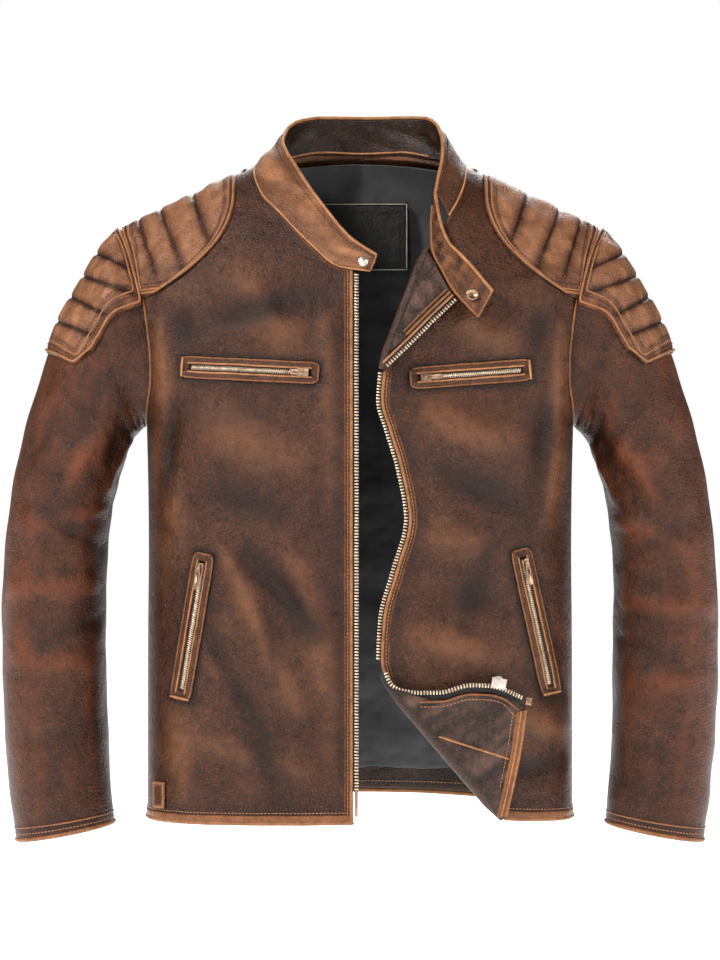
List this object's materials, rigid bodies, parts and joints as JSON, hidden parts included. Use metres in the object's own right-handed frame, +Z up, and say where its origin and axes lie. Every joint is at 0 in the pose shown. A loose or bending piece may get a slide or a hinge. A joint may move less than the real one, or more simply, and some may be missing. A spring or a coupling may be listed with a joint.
{
  "type": "leather riding jacket",
  "caption": "Waist-length waxed brown leather riding jacket with a stand collar, quilted shoulders, open front zip and zipped pockets.",
  "frame": {"origin": "middle of the neck base, where a wearer's neck or a hanger's neck sits", "axes": "+Z up along the body, -Y out of the jacket's front, +X towards the wearer's left"},
  "size_m": [0.716, 0.2503, 0.7285],
  "materials": {
    "waxed_brown_leather": "waxed pull-up leather, satin with darker hollows",
    "rubbed_tan_leather": "rubbed-off tan leather, satin",
    "dark_facing_leather": "dark brown facing leather, creased satin",
    "charcoal_lining": "charcoal satin-weave polyester lining, soft",
    "black_patch_leather": "black blank patch leather, matt",
    "aged_brass": "aged brass, polished teeth",
    "pale_nickel": "pale satin nickel"
  },
  "bodies": {
    "jacket": {"back_panel": "waxed_brown_leather", "chest_left_pocket_bag": "charcoal_lining", "chest_left_pocket_welt": "rubbed_tan_leather", "chest_left_pocket_zip": "aged_brass", "chest_right_pocket_bag": "charcoal_lining", "chest_right_pocket_welt": "rubbed_tan_leather", "chest_right_pocket_zip": "aged_brass", "collar_lining": "dark_facing_leather", "collar_shell": "rubbed_tan_leather", "collar_snap_stud": "aged_brass", "facing_left": "dark_facing_leather", "facing_right": "dark_facing_leather", "front_panel_left": "waxed_brown_leather", "front_panel_right": "waxed_brown_leather", "front_zip_left": "aged_brass", "front_zip_pin": "aged_brass", "front_zip_right": "aged_brass", "hand_left_pocket_bag": "charcoal_lining", "hand_left_pocket_welt": "rubbed_tan_leather", "hand_left_pocket_zip": "aged_brass", "hand_right_pocket_bag": "charcoal_lining", "hand_right_pocket_welt": "rubbed_tan_leather", "hand_right_pocket_zip": "aged_brass", "hem_corner_roll": "dark_facing_leather", "hem_facing_back": "dark_facing_leather", "label_patch": "black_patch_leather", "lapel_roll": "dark_facing_leather", "lining_back": "charcoal_lining", "lining_front_left": "charcoal_lining", "lining_front_right": "charcoal_lining", "shoulder_yoke_left": "rubbed_tan_leather", "shoulder_yoke_right": "rubbed_tan_leather", "side_tab": "rubbed_tan_leather"},
    "sleeve_right_arm": {"sleeve_right": "waxed_brown_leather", "sleeve_lining_right": "charcoal_lining", "sleeve_pad_right": "rubbed_tan_leather"},
    "sleeve_left_arm": {"sleeve_left": "waxed_brown_leather", "sleeve_lining_left": "charcoal_lining", "sleeve_pad_left": "rubbed_tan_leather"},
    "lapel": {"lapel_shell": "waxed_brown_leather", "lapel_facing": "dark_facing_leather", "collar_tab": "dark_facing_leather", "front_zip_lapel": "aged_brass", "collar_snap_cap": "aged_brass"},
    "hem_corner": {"hem_corner_shell": "waxed_brown_leather", "hem_corner_facing": "dark_facing_leather", "front_zip_corner": "aged_brass", "front_zip_end_box": "aged_brass"},
    "front_slider": {"front_zip_slider": "pale_nickel", "front_zip_pull": "pale_nickel"},
    "chest_right_slider_body": {"chest_right_slider": "aged_brass"},
    "chest_right_pull_body": {"chest_right_pull": "aged_brass"},
    "chest_left_slider_body": {"chest_left_slider": "aged_brass"},
    "chest_left_pull_body": {"chest_left_pull": "aged_brass"},
    "hand_right_slider_body": {"hand_right_slider": "aged_brass"},
    "hand_right_pull_body": {"hand_right_pull": "aged_brass"},
    "hand_left_slider_body": {"hand_left_slider": "aged_brass"},
    "hand_left_pull_body": {"hand_left_pull": "aged_brass"}
  },
  "joints": [
    {"name": "shoulder_right_swing", "type": "hinge", "parent": "jacket", "child": "sleeve_right_arm", "pos_m": [-0.2365, 0, -0.0225], "axis": [0, 1, 0], "range_deg": [0, 35]},
    {"name": "shoulder_left_swing", "type": "hinge", "parent": "jacket", "child": "sleeve_left_arm", "pos_m": [0.2365, 0, -0.0225], "axis": [0, -1, 0], "range_deg": [0, 35]},
    {"name": "lapel_fold", "type": "hinge", "parent": "jacket", "child": "lapel", "pos_m": [0.0443, -0.10951, -0.1139], "axis": [-0.3483, -0.2231, -0.9104], "range_deg": [0, 140], "deforming": ["lapel_roll"]},
    {"name": "hem_corner_fold", "type": "hinge", "parent": "jacket", "child": "hem_corner", "pos_m": [0.08185, -0.11055, -0.5396], "axis": [0.6464, 0.0815, -0.7587], "range_deg": [0, 165], "deforming": ["hem_corner_roll"]},
    {"name": "front_zip_slide", "type": "slide", "parent": "hem_corner", "child": "front_slider", "axis": [0.9429, 0.2694, -0.1957], "range_m": [-0.012, 0.014]},
    {"name": "chest_right_zip_slide", "type": "slide", "parent": "jacket", "child": "chest_right_slider_body", "axis": [-0.9807, 0.188, 0.0539], "range_m": [0, 0.1048]},
    {"name": "chest_right_pull_tip", "type": "hinge", "parent": "chest_right_slider_body", "child": "chest_right_pull_body", "pos_m": [-0.05338, -0.12377, -0.17662], "axis": [0.0599, 0.0265, 0.9979], "range_deg": [0, 150]},
    {"name": "chest_left_zip_slide", "type": "slide", "parent": "jacket", "child": "chest_left_slider_body", "axis": [0.9781, 0.1913, 0.0815], "range_m": [0, 0.0878]},
    {"name": "chest_left_pull_tip", "type": "hinge", "parent": "chest_left_slider_body", "child": "chest_left_pull_body", "pos_m": [0.0624, -0.12237, -0.18144], "axis": [0.086, -0.0152, -0.9962], "range_deg": [0, 150]},
    {"name": "hand_right_zip_slide", "type": "slide", "parent": "jacket", "child": "hand_right_slider_body", "axis": [-0.1672, 0.099, -0.9809], "range_m": [0, 0.1134]},
    {"name": "hand_right_pull_tip", "type": "hinge", "parent": "hand_right_slider_body", "child": "hand_right_pull_body", "pos_m": [-0.15604, -0.09801, -0.36405], "axis": [-0.8613, 0.4696, 0.1942], "range_deg": [0, 150]},
    {"name": "hand_left_zip_slide", "type": "slide", "parent": "jacket", "child": "hand_left_slider_body", "axis": [0.2161, 0.1515, -0.9646], "range_m": [0, 0.1156]},
    {"name": "hand_left_pull_tip", "type": "hinge", "parent": "hand_left_slider_body", "child": "hand_left_pull_body", "pos_m": [0.16172, -0.09545, -0.36004], "axis": [-0.8083, -0.5263, -0.2637], "range_deg": [0, 150]}
  ]
}
